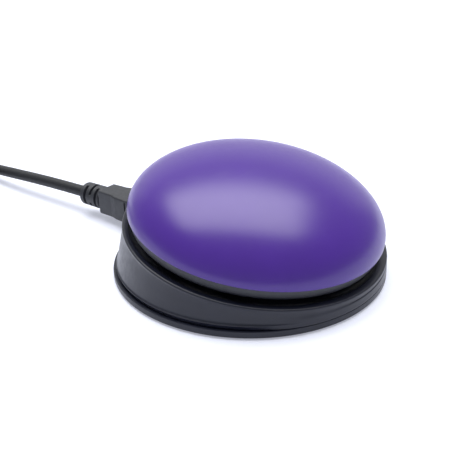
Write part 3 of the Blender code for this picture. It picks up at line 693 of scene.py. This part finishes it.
def tube(path, radius, sides):
    """A round tube along a path of points."""
    rings = []
    side = None
    for i, point in enumerate(path):
        along = (path[min(i + 1, len(path) - 1)] - path[max(i - 1, 0)]).normalized()
        if side is None:
            side = along.orthogonal().normalized()
        side = (side - along * side.dot(along)).normalized()
        other = along.cross(side)
        ring = []
        for k in range(sides):
            turned = TURN * k / sides
            ring.append((point + radius * (math.cos(turned) * side + math.sin(turned) * other)) * MM)
        rings.append(ring)
    return loft(rings)


# ---- housing and base plate

def level(radius, z):
    """A circle round the housing's lower middle."""
    return circle(radius * MM, z * MM, ROUND, (0.0, LOWER_CENTRE_Y))


def tilted(radius, height, offset=0.0):
    """A circle parallel to the rim, at a height over its middle and shifted along its slope."""
    return [TILTED @ (point + Vector((0.0, offset * MM, 0.0)))
            for point in circle(radius * MM, height * MM, ROUND)]


def side_share(index):
    """0 at the front, where the lip runs flush with the wall, and 1 round the sides and the back."""
    angle = 360.0 * index / ROUND
    from_front = abs((angle - 270.0 + 180.0) % 360.0 - 180.0)
    return smooth_step(32.0, 62.0, from_front)


def bead_ring(inset, depth):
    """A ring of the rim's bead. The step under the bead fades out at the front."""
    flush = tilted(RIM_RADIUS, RIM_TOP - depth, RIM_OFFSET)
    stepped = tilted(RIM_RADIUS - inset, RIM_TOP - depth, RIM_OFFSET)
    return [a.lerp(b, side_share(i)) for i, (a, b) in enumerate(zip(flush, stepped))]


def wall_rings():
    """The wall from its foot to its bead: the lip and the groove under it fade out at the front."""
    foot = [
        # z, radius at the sides, radius at the front
        (3.0, 48.4, 49.6), (3.1, 48.6, 49.65), (3.6, 48.7, 49.64), (4.0, 48.82, 49.61), (4.25, 49.0, 49.6),
        (4.42, 49.1, 49.59), (4.58, 49.08, 49.58), (4.72, 48.92, 49.57), (4.85, 48.76, 49.56),
        (5.1, 48.64, 49.54), (5.4, 48.56, 49.52),
    ]
    rings = []
    for z, side, front in foot:
        row = []
        for i, point in enumerate(circle(1.0, z * MM, ROUND)):
            radius = mix(front, side, side_share(i)) * MM
            row.append(Vector((point.x * radius, point.y * radius + LOWER_CENTRE_Y, point.z)))
        rings.append(row)
    top_of_foot = rings[-1]
    below_bead = bead_ring(0.2, 1.95)
    for share in (0.34, 0.67):
        rings.append([a.lerp(b, share) for a, b in zip(top_of_foot, below_bead)])
    rings.append(below_bead)
    return rings


def build_housing():
    """The sloping shell: its wall, its rim, the bowl under the dome, and what is let into them."""
    rim_edge = tilted(RIM_RADIUS - 0.6, RIM_TOP, RIM_OFFSET)
    bowl_edge = tilted(45.6, 0.0, PRESS_OFFSET)
    underside = [tilted(40.0, DECK_BOTTOM, PRESS_OFFSET), tilted(43.4, -3.2, PRESS_OFFSET)]
    inside = [level(radius, z) for radius, z in (
        (45.0, 4.6), (45.0, 2.75), (45.1, 2.55), (46.3, 2.5), (46.6, 2.6), (46.9, 3.1))]
    bead = [bead_ring(inset, depth) for inset, depth in (
        (0.21, 1.5), (0.19, 1.25), (0.14, 1.08), (0.08, 0.98), (0.03, 0.85), (0.0, 0.65))]
    rim = [tilted(RIM_RADIUS - inset, RIM_TOP - depth, RIM_OFFSET) for inset, depth in (
        (0.02, 0.42), (0.14, 0.2), (0.35, 0.06))]
    bowl = [tilted(radius, height, PRESS_OFFSET) for radius, height in (
        (45.42, -0.04), (45.28, -0.2), (44.6, -0.9), (43.6, -1.7), (42.3, -2.3), (41.0, -2.6), (30.0, -2.6))]
    rim_top = [rim_edge, [a.lerp(b, 0.5) for a, b in zip(rim_edge, bowl_edge)], bowl_edge]
    rings = [*underside, *inside, *wall_rings(), *bead, *rim, *rim_top, *bowl]
    housing = add_piece("housing_shell", loft(rings), black, "base", ["housing"])
    bosses = []
    cutters = []
    for x, y in around(SCREW_CIRCLE, SCREW_ANGLES):
        deck = RIM_CENTRE.z / MM + (y - RIM_CENTRE.y) / MM * math.tan(TILT) + DECK_BOTTOM
        bosses.append(lathe([(3.2, 3.7), (3.4, 3.9), (3.4, deck + 0.8)], 32, centre=(x, y)))
        cutters.append(lathe([(1.8, 3.0), (1.8, 6.9)], 24, centre=(x, y)))
    combine(housing, merged(bosses), "UNION")
    for centre in around(GUIDE_CIRCLE, GUIDE_ANGLES):
        hole = lathe([(3.3, -6.0), (3.3, -2.75), (3.7, -2.35), (3.7, 0.0)], 40, centre=centre)
        cutters.append(moved(hole, PRESS))
    cutters.append(moved(block((-8.2, -4.2, -6.0), (8.6, 4.6, 0.0)), PRESS))
    cutters.append(loft([section(y, 6.3 + grow, 5.6 + grow, corner, PORT) for y, grow, corner in (
        (40.0, 0.0, 0.5), (45.7, 0.0, 0.5), (46.3, 0.5, 1.1), (52.0, 0.5, 1.1))]))
    combine(housing, merged(cutters))


def build_base_plate():
    """The round tray, with sunk screw heads, pockets for the feet and two grooves underneath."""
    profile = [(0.0, 0.5), (42.0, 0.5), (49.4, 0.5), (49.8, 0.6), (50.0, 0.85), (50.0, 1.6), (49.97, 2.4),
               (49.93, 2.72), (49.8, 2.86), (49.5, 2.9), (48.6, 2.88), (48.2, 2.7), (48.0, 2.3), (47.8, 2.1),
               (45.5, 2.1), (45.5, 1.5), (0.0, 1.5)]
    plate = add_piece("base_tray", lathe(profile, ROUND), black, "base", ["base_plate"])
    bosses = []
    cutters = []
    for centre in around(SCREW_CIRCLE, SCREW_ANGLES):
        bosses.append(lathe([(3.8, 1.0), (3.8, 3.2), (3.6, 3.4)], 40, centre=centre))
        sunk = [(3.45, 0.0), (3.2, 0.7), (3.2, 2.2), (1.9, 2.2), (1.9, 4.0)]
        cutters.append(lathe(sunk, 40, centre=centre))
    for centre in around(FOOT_CIRCLE, FOOT_ANGLES):
        cutters.append(lathe([(5.8, 0.0), (5.8, 1.1)], 48, centre=centre))
    for radius in (12.0, 24.0):
        groove = [(radius, 0.3), (radius + 0.8, 0.3), (radius + 0.6, 0.8), (radius + 0.2, 0.8)]
        cutters.append(lathe(groove, 96, True))
    combine(plate, merged(bosses), "UNION")
    combine(plate, merged(cutters))


def build_feet():
    """Rubber discs with fine rings pressed into the sole."""
    sole, groove = 0.0, 0.12
    profile = [(0.0, groove)]
    for i in range(7):
        inner = 0.4 + 0.7 * i
        profile += [(inner, groove), (inner + 0.1, sole), (inner + 0.45, sole), (inner + 0.55, groove)]
    profile += [(5.3, 0.06), (5.5, 0.2), (5.5, 0.7), (5.4, 0.8), (0.0, 0.8)]
    for number, centre in enumerate(around(FOOT_CIRCLE, FOOT_ANGLES), 1):
        add_piece(f"foot_pad_{number}", lathe(profile, 48, centre=centre), rubber, "base",
                  [f"foot_{number}"])


def build_housing_screws():
    for number, centre in enumerate(around(SCREW_CIRCLE, SCREW_ANGLES), 1):
        add_screw(f"case_screw_{number}", (2.8, 1.5, 0.8, 1.9, 6.6), centre, "base",
                  f"housing_screw_{number}")


# ---- plugs on the lead

def slotted_relief(start, end, radius, tip_radius, slots, centre, depth=1.3):
    """A round sleeve along Y with staggered slots. Each slot is (middle, half width, turn in degrees)."""
    around_count, along_count, end_round, half_arc = 96, 150, 0.7, 68.0
    rings = []
    for k in range(along_count + 1):
        share = k / along_count
        y = mix(start, end, share)
        near_end = min(abs(y - start), abs(end - y))
        outside = mix(radius, tip_radius, share) - end_round * max(0.0, 1.0 - near_end / end_round) ** 2
        ring = []
        for i in range(around_count):
            angle = 360.0 * i / around_count
            r = outside
            for middle, half_width, turned in slots:
                off_axis = abs((angle - turned + 90.0) % 180.0 - 90.0)
                across = 1.0 - smooth_step(half_width - 0.12, half_width + 0.1, abs(y - middle))
                arc = 1.0 - smooth_step(half_arc - 4.0, half_arc + 4.0, off_axis)
                r -= depth * across * arc
            ring.append(Vector(((centre[0] + r * math.cos(math.radians(angle))) * MM, y * MM,
                                (centre[1] + r * math.sin(math.radians(angle))) * MM)))
        rings.append(ring)
    return loft(rings)


def sleeve_mesh(front, rear, outer, inner, radius, centre):
    """A rectangular sleeve along Y with softened mouths. Sizes are half widths and heights."""
    rings = []
    for y, size, grow in ((front + 0.12, outer, 0.0), (rear - 0.12, outer, 0.0), (rear, outer, -0.1),
                          (rear, inner, 0.1), (rear - 0.12, inner, 0.0), (front + 0.12, inner, 0.0),
                          (front, inner, 0.1), (front, outer, -0.1)):
        corner = radius if size is outer else radius * 0.6
        rings.append(section(y, size[0] + grow, size[1] + grow, corner, centre, 4))
    return loft(rings, closed=True)


def build_plug():
    """The USB type B plug: a moulded boot with a slot in each flank, a slotted relief and a metal end."""
    shape = [
        # y, half width, half height, corner radius
        (47.3, 6.1, 4.75, 0.7), (47.42, 6.4, 5.05, 0.9), (47.75, 6.6, 5.25, 1.0), (56.6, 6.6, 5.25, 1.0),
        (62.5, 6.2, 5.25, 0.95), (62.85, 6.14, 5.25, 0.95), (65.45, 5.32, 5.25, 0.9), (65.85, 5.2, 5.25, 0.9),
        (66.4, 5.15, 5.25, 0.9), (72.7, 5.0, 5.25, 0.9), (73.1, 4.94, 5.2, 0.9), (73.42, 4.72, 5.02, 0.9),
        (73.6, 4.3, 4.7, 0.9),
    ]
    rings = [section(y, width, height, radius, PORT) for y, width, height, radius in shape]
    boot = add_piece("plug_boot", loft(rings), boot_vinyl, "base", ["usb_plug_boot"],
                     crease=30.0)
    slots = [block((low, 56.25, PORT[1] - 4.2), (high, 56.95, PORT[1] + 4.2), 0.12, 2)
             for low, high in ((-8.0, -5.7), (5.7, 8.0))]
    combine(boot, merged(slots))
    slots = [(76.0, 0.62, 0.0), (79.1, 0.6, 90.0), (82.3, 0.62, 0.0)]
    relief = slotted_relief(73.9, 85.5, 5.0, 4.9, slots, RELIEF)
    add_piece("plug_relief", relief, boot_vinyl, "base", ["plug_strain_relief"], crease=50.0)
    shell = sleeve_mesh(35.5, 47.0, (4.2, 3.85), (3.8, 3.45), 0.5, PORT)
    add_piece("plug_shell", shell, tin, "base", ["usb_plug_shell"])
    insulator = sleeve_mesh(36.0, 47.0, (3.5, 3.15), (3.1, 1.9), 0.3, PORT)
    add_piece("plug_insulator", insulator, nylon, "base", ["usb_plug_insulator"])


def build_host_plug():
    """The flat type A plug that lies beside the coil, with grip ridges on its boot."""
    x, z = HOST
    rows = [(129.0, 4.0, 3.2, 1.1), (128.6, 4.4, 3.4, 1.2), (124.4, 7.6, 4.0, 1.4), (123.6, 7.9, 4.1, 1.4)]
    for i in range(6):
        y = 121.5 - 1.6 * i
        rows += [(y, 7.9, 4.1, 1.4), (y - 0.25, 7.9, 3.85, 1.3), (y - 0.75, 7.9, 3.85, 1.3),
                 (y - 1.0, 7.9, 4.1, 1.4)]
    rows += [(107.6, 7.9, 4.1, 1.4), (107.15, 7.7, 3.9, 1.3), (107.0, 7.3, 3.5, 1.1)]
    rings = [section(y, width, height, radius, HOST) for y, width, height, radius in rows]
    add_piece("host_boot", loft(rings), boot_vinyl, "base", ["host_plug_boot"])
    slots = [(131.6, 0.5, 0.0), (133.9, 0.5, 90.0), (136.2, 0.5, 0.0), (138.5, 0.5, 90.0)]
    relief = slotted_relief(129.3, 141.0, 3.7, 3.2, slots, HOST, 0.6)
    add_piece("host_relief", relief, boot_vinyl, "base", ["host_strain_relief"], crease=50.0)
    sleeve_bm = sleeve_mesh(95.3, 106.7, (6.0, 2.25), (5.65, 1.9), 0.4, HOST)
    shell = add_piece("host_shell", sleeve_bm, tin, "base", ["host_plug_shell"])
    windows = [block((x + side - 1.1, 99.5, z - 3.0), (x + side + 1.1, 101.8, z + 3.0))
               for side in (-2.6, 2.6)]
    combine(shell, merged(windows))
    tongue = block((x - 5.3, 95.9, z - 1.5), (x + 5.3, 106.7, z - 0.3), 0.1, 2)
    add_piece("host_tongue", tongue, nylon, "base", ["host_plug_tongue"])
    pads = [block((x + side - 0.5, 96.4, z - 0.32), (x + side + 0.5, 106.0, z - 0.22), 0.03, 1)
            for side in (-3.5, -1.0, 1.0, 3.5)]
    add_piece("host_contacts", merged(pads), gold, "base")


def build_strap():
    """A hook-and-loop strap round the coil's turns at its back, with its loose end lapped over."""
    coil_y = COIL_CENTRE.y / MM
    inner_y, outer_y = coil_y + 15.7, coil_y + 43.5
    low, high = 0.5, 11.6
    middle = ((inner_y + outer_y) / 2, (low + high) / 2)
    half = ((outer_y - inner_y) / 2, (high - low) / 2)
    rings = []
    for x, grow in ((-6.0, 0.0), (-6.0, 0.4), (-5.8, 0.5), (5.8, 0.5), (6.0, 0.4), (6.0, 0.0)):
        ring = section(0.0, half[0] + grow, half[1] + grow, 2.0 + grow)
        rings.append([Vector((COIL_CENTRE.x + x * MM, middle[0] * MM + point.x, middle[1] * MM + point.z))
                      for point in ring])
    lap = block((-5.6, 206.0, 12.05), (5.6, 221.0, 12.55), 0.2, 2)
    for vert in lap.verts:
        vert.co.x += COIL_CENTRE.x
    add_piece("strap", merged([loft(rings, closed=True), lap]), strap, "base", ["cable_tie"])


# ---- board, switch and socket

CHIP_Y = 12.5
CHIP_LEADS = [1.27 * (i - 3.5) for i in range(8)]
CAPACITOR_X = 8.0
CAPACITOR_YS = (19.5, 26.0)
CRYSTAL = (-5.0, 22.0)
SOLDER_PLACES = [
    *[(x, SWITCH_Y) for x in (-5.0, 0.0, 5.0)],
    *[(CRYSTAL[0] + x, CRYSTAL[1]) for x in (-2.4, 2.4)],
    *[(CAPACITOR_X + x, y) for y in CAPACITOR_YS for x in (-1.0, 1.0)],
    *[(x, y) for y in (34.0, 36.0) for x in (-1.25, 1.25)],
    (-5.8, 38.0), (5.8, 38.0), (-11.0, -8.0), (11.0, -8.0),
]


def strip(points, width, thickness, x):
    """A bent strip of sheet metal along points of (y, z)."""
    rings = []
    for i, point in enumerate(points):
        before = Vector(points[max(i - 1, 0)])
        after = Vector(points[min(i + 1, len(points) - 1)])
        along = (after - before).normalized()
        across = Vector((-along.y, along.x)) * thickness / 2
        corners = [(x + side * width / 2, point[0] + face * across.x, point[1] + face * across.y)
                   for side, face in ((-1, -1), (1, -1), (1, 1), (-1, 1))]
        rings.append([Vector(corner) * MM for corner in corners])
    return loft(rings)


def solder_joints(places):
    """A pad on each face of the board, with a cone of solder under it."""
    parts = []
    for x, y in places:
        top = [(0.0, BOARD_TOP - 0.02), (0.8, BOARD_TOP - 0.02), (0.8, BOARD_TOP + 0.03),
               (0.35, BOARD_TOP + 0.12), (0.0, BOARD_TOP + 0.14)]
        under = [(0.0, 1.62), (0.25, 1.65), (0.45, 1.82), (0.8, 1.97), (0.8, 2.02), (0.0, 2.02)]
        parts.append(lathe(top, 24, centre=(x * MM, y * MM)))
        parts.append(lathe(under, 24, centre=(x * MM, y * MM)))
    return parts


def build_board():
    """The circuit board, with its tracks under the mask, its pads and its solder joints."""
    rings = [plan(z, 13.0 - inset, 27.5 - inset, 1.2 - inset, (0.0, 13.5))
             for z, inset in ((2.0, 0.08), (2.08, 0.0), (3.12, 0.0), (BOARD_TOP, 0.08))]
    low, high = BOARD_TOP - 0.05, BOARD_TOP + 0.04
    tracks = []
    for i in range(4):
        socket_x = -1.9 + 1.27 * i
        switch_x = -3.0 + 2.1 * i
        tracks.append(block((socket_x - 0.2, 17.3, low), (socket_x + 0.2, 31.5 - 0.6 * i, high)))
        tracks.append(block((switch_x - 0.2, -0.2, low), (switch_x + 0.2, 7.7, high)))
    tracks.append(block((-11.8, -12.0, low), (-11.2, 39.5, high)))
    tracks.append(block((11.2, -12.0, low), (11.8, 39.5, high)))
    tracks.append(block((-11.8, -12.0, low), (11.8, -11.4, high)))
    add_piece("board", merged([loft(rings), *tracks]), mask, "base", ["circuit_board"])
    pads = solder_joints(SOLDER_PLACES)
    for y in (CHIP_Y - 4.6, CHIP_Y + 4.6):
        pads += [block((x - 0.3, y - 0.75, BOARD_TOP - 0.02), (x + 0.3, y + 0.75, high), 0.02, 1)
                 for x in CHIP_LEADS]
    add_piece("board_solder", merged(pads), solder, "base")


def build_chip():
    """The controller, with a dot at its first lead."""
    body = [plan(z, 5.0 - inset, 3.5 - inset, 0.25, (0.0, CHIP_Y))
            for z, inset in ((3.5, 0.16), (3.6, 0.12), (4.5, 0.0), (4.7, 0.0), (5.5, 0.12), (5.6, 0.2))]
    chip = add_piece("chip_body", loft(body), epoxy, "base", ["controller_chip"])
    combine(chip, lathe([(0.5, 5.45), (0.5, 5.9)], 32, centre=(-4.0 * MM, (CHIP_Y - 2.4) * MM)))
    path = [(3.4, 4.6), (3.75, 4.6), (3.92, 4.52), (4.02, 4.35), (4.12, 3.6), (4.2, 3.42), (4.36, 3.35),
            (5.0, 3.33)]
    leads = [strip([(CHIP_Y + side * y, z) for y, z in path], 0.42, 0.18, x)
             for x in CHIP_LEADS for side in (-1.0, 1.0)]
    add_piece("chip_leads", merged(leads), tin, "base")


def build_crystal():
    """The crystal in its flanged can."""
    shape = [
        # z, half length, half width
        (3.3, 5.45, 2.1), (3.38, 5.55, 2.2), (3.7, 5.55, 2.2), (3.78, 5.45, 2.1), (3.82, 5.2, 1.85),
        (4.0, 5.12, 1.78), (6.4, 5.12, 1.78), (6.7, 5.02, 1.68), (6.84, 4.86, 1.52), (6.9, 4.6, 1.26),
    ]
    can = [plan(z, length, width, width * 0.98, CRYSTAL, 10) for z, length, width in shape]
    add_piece("crystal_can", loft(can), tin, "base", ["crystal"])


def build_capacitors():
    """Two capacitors: a shrunk sleeve round a can whose top is scored with a cross."""
    wrap = rounded([(1.9, 3.52), (2.5, 3.52), (2.5, 4.3), (2.36, 4.5), (2.36, 4.7), (2.5, 4.9), (2.5, 9.4),
                    (2.1, 9.48), (2.05, 9.35), (1.9, 9.35)], 0.12)
    can = [(0.0, 3.6), (1.85, 3.6), (1.85, 9.2), (2.0, 9.36), (1.7, 9.42), (0.0, 9.44)]
    for number, y in enumerate(CAPACITOR_YS, 1):
        centre = (CAPACITOR_X * MM, y * MM)
        add_piece(f"capacitor_sleeve_{number}", lathe(wrap, 48, True, centre), sleeve, "base",
                  [f"capacitor_{number}"])
        made = add_piece(f"capacitor_can_{number}", lathe(can, 48, False, centre), tin, "base")
        combine(made, loft([cross(z, 1.35, 0.09, centre) for z in (9.3, 9.6)]))


def build_switch():
    """The microswitch's case, with two ears and a pivot pin."""
    case = [plan(z, 6.4 - inset, 2.9 - inset, 0.35, (0.0, SWITCH_Y))
            for z, inset in ((3.5, 0.15), (3.65, 0.0), (8.1, 0.0), (8.15, 0.12), (8.3, 0.12), (8.35, 0.0),
                             (SWITCH_TOP - 0.15, 0.0), (SWITCH_TOP, 0.15))]
    body = add_piece("switch_case", loft(case), switch_black, "base", ["switch_body"])
    pivot = LEVER_PIVOT
    ears = []
    for middle in (SWITCH_Y - 2.4, SWITCH_Y + 2.4):
        ears.append(block((pivot.x - 0.8, middle - 0.4, SWITCH_TOP - 1.0),
                          (pivot.x + 0.8, middle + 0.4, pivot.z + 0.6), 0.15, 3))
    combine(body, merged(ears), "UNION")
    pin = moved(lathe([(0.4, -2.4), (0.4, 2.4)], 24), LYING)
    combine(body, moved(pin, Matrix.Translation(pivot * MM)), "UNION")
    well = [(1.1, 7.6), (1.1, SWITCH_TOP - 0.15), (1.3, SWITCH_TOP + 0.1), (1.3, 11.0)]
    cutters = [lathe(well, 32, centre=(BUTTON_X * MM, SWITCH_Y * MM)),
               block((pivot.x - 1.6, SWITCH_Y - 1.95, SWITCH_TOP - 0.6),
                     (pivot.x + 1.6, SWITCH_Y + 1.95, SWITCH_TOP + 0.05))]
    for x in (-3.25, 3.25):
        hole = moved(lathe([(0.95, -4.0), (0.95, 4.0)], 28), LYING)
        cutters.append(moved(hole, Matrix.Translation(Vector((x, SWITCH_Y, 5.4)) * MM)))
    combine(body, merged(cutters))


def build_lever():
    """The switch's steel lever, with a knuckle round the pivot pin."""
    knuckle = [(0.7, -1.7), (0.78, -1.75), (1.07, -1.75), (1.15, -1.68), (1.15, 1.68), (1.07, 1.75),
               (0.78, 1.75), (0.7, 1.7)]
    place = Matrix.Translation(LEVER_PIVOT * MM) @ Matrix.Rotation(-LEVER_ANGLE, 4, "Y")
    ring = moved(lathe(knuckle, 40, True), LYING)
    lever = add_piece("lever_arm", moved(ring, place), steel, "lever", ["switch_lever"])
    arm = [plan(z, 5.56 - inset, 1.6 - inset, 0.9, (6.46, 0.0))
           for z, inset in ((-0.2, 0.06), (-0.14, 0.0), (0.14, 0.0), (0.2, 0.06))]
    combine(lever, moved(loft(arm), place), "UNION")


def build_button():
    """The switch's red button, whose top lies just under the lever."""
    top = LEVER_PIVOT.z + (BUTTON_X - LEVER_PIVOT.x) * math.tan(LEVER_ANGLE) - 0.55
    profile = [(0.0, top - 1.9), (0.68, top - 1.9), (0.75, top - 1.83), (0.75, top - 0.35),
               (0.7, top - 0.18), (0.58, top - 0.07), (0.38, top - 0.01), (0.0, top)]
    add_piece("button_pin", lathe(profile, 32, centre=(BUTTON_X * MM, SWITCH_Y * MM)), switch_red, "button",
              ["switch_button"])


def build_socket():
    """The USB type B socket: a folded metal shell with slits in its flanks, and a tongue with contacts."""
    z_mid = PORT[1]
    shell = add_piece("socket_shell", sleeve_mesh(31.2, 46.4, (6.0, 5.3), (5.4, 4.7), 0.5, PORT), tin, "base",
                      ["usb_socket_shell"])
    back = [section(y, 5.8, 5.1, 0.4, PORT) for y in (31.4, 32.2)]
    combine(shell, loft(back), "UNION")
    slits = [block((x, 36.0, z_mid + z), (x + 1.5, 43.0, z_mid + z + 0.4))
             for x in (-6.5, 5.0) for z in (-1.6, 1.2)]
    combine(shell, merged(slits))
    tongue = [section(y, 2.8 - inset, 1.6 - inset, 0.25, PORT)
              for y, inset in ((32.5, 0.1), (32.6, 0.0), (44.4, 0.0), (44.7, 0.25))]
    add_piece("socket_tongue", loft(tongue), nylon, "base", ["usb_socket_tongue"])
    contacts = [block((x - 0.5, 33.6, z_mid + z), (x + 0.5, 44.2, z_mid + z + 0.15), 0.05, 2)
                for x in (-1.25, 1.25) for z in (-1.72, 1.57)]
    add_piece("socket_contacts", merged(contacts), gold, "base")


build_dome()
build_carrier()
build_guides()
build_housing()
build_base_plate()
build_feet()
build_housing_screws()
build_board()
build_chip()
build_crystal()
build_capacitors()
build_switch()
build_lever()
build_button()
build_socket()
build_plug()
build_host_plug()
build_strap()
lead = build_lead()
